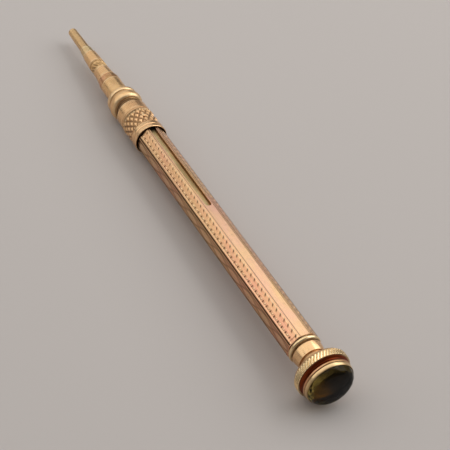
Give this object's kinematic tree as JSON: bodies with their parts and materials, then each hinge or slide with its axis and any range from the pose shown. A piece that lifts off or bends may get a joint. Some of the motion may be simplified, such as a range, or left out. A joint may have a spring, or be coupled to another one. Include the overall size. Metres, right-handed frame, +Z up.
{
  "type": "telescoping pencil",
  "caption": "Octagonal gold slide pencil: a knurled ring pushes out a stepped twist nose, and a milled cap set with a faceted stone unscrews from the slotted barrel.",
  "frame": {"origin": "under the middle of the extended pencil, at the level of the milled ring's lowest point", "axes": "+X along the pencil towards the tip, +Z up out of the slotted facet"},
  "size_m": [0.117, 0.0102, 0.0103],
  "materials": {
    "gold": "polished, worn",
    "rose_gold": "polished, worn",
    "green_gold": "polished",
    "dull_brass": "dull",
    "red_gold": "tarnished",
    "foil": "bright foil",
    "steel": "plain",
    "graphite": "matt graphite",
    "stone": "polished facets"
  },
  "bodies": {
    "barrel": {"barrel_shell": "gold", "front_ferrule": "gold", "rear_bush": "dull_brass", "magazine_tube": "dull_brass", "spare_lead_1": "graphite", "spare_lead_2": "graphite", "spare_lead_3": "graphite"},
    "slide": {"slider_ring": "gold", "slide_key": "dull_brass", "key_rivet": "gold", "drag_spring": "steel", "carrier_tube": "dull_brass", "carrier_bush": "dull_brass", "thread_tube": "dull_brass"},
    "nose": {"nose_sleeve": "gold", "nose_band": "rose_gold", "rear_cone": "gold", "notched_ring": "rose_gold", "front_cone": "gold", "step_collar": "green_gold", "lead_tube": "rose_gold", "guide_tube": "dull_brass", "retaining_ring": "steel"},
    "feed": {"follower": "steel", "pusher_rod": "steel", "lead": "graphite"},
    "collar": {"end_bead": "gold"},
    "cap": {"cap_neck": "gold", "cap_stem": "dull_brass", "milled_ring": "gold", "cove_ring": "red_gold", "seat_ring": "gold", "bezel": "gold", "stone": "stone", "foil": "foil"}
  },
  "joints": [
    {"name": "barrel_slide", "type": "slide", "parent": "barrel", "child": "slide", "axis": [1, 0, 0], "range_m": [-0.0292, 0]},
    {"name": "nose_twist", "type": "hinge", "parent": "slide", "child": "nose", "pos_m": [0, 0, 0.00513], "axis": [1, 0, 0], "range_deg": [0, 2160]},
    {"name": "lead_feed", "type": "slide", "parent": "nose", "child": "feed", "axis": [1, 0, 0], "range_m": [0, 0.009]},
    {"name": "cap_lift", "type": "slide", "parent": "barrel", "child": "collar", "axis": [-1, 0, 0], "range_m": [0, 0.0036]},
    {"name": "cap_turn", "type": "hinge", "parent": "collar", "child": "cap", "pos_m": [0, 0, 0.00513], "axis": [-1, 0, 0], "range_deg": [0, 2160]}
  ],
  "couplings": [
    {"joint": "nose_twist", "follows": "lead_feed", "rad_per_m": 4188.8},
    {"joint": "cap_turn", "follows": "cap_lift", "rad_per_m": 10472}
  ]
}
